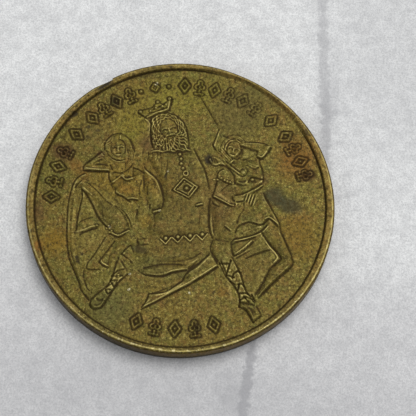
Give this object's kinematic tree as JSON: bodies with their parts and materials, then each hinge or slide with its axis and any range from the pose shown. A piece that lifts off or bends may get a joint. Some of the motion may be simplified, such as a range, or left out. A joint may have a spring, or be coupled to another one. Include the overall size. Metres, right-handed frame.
{
  "type": "struck brass token",
  "caption": "Round struck brass token with a raised rim and low-relief robed figures in a ring of ornaments.",
  "frame": {"origin": "centre of the reverse, at the level of its rim", "axes": "+Z out of the obverse along the token's axis, +Y towards the top of the obverse picture, +X to its right"},
  "size_m": [0.038, 0.038, 0.0026],
  "materials": {
    "brass": "worn, dark olive patina"
  },
  "bodies": {
    "root": {"token": "brass"}
  },
  "joints": []
}
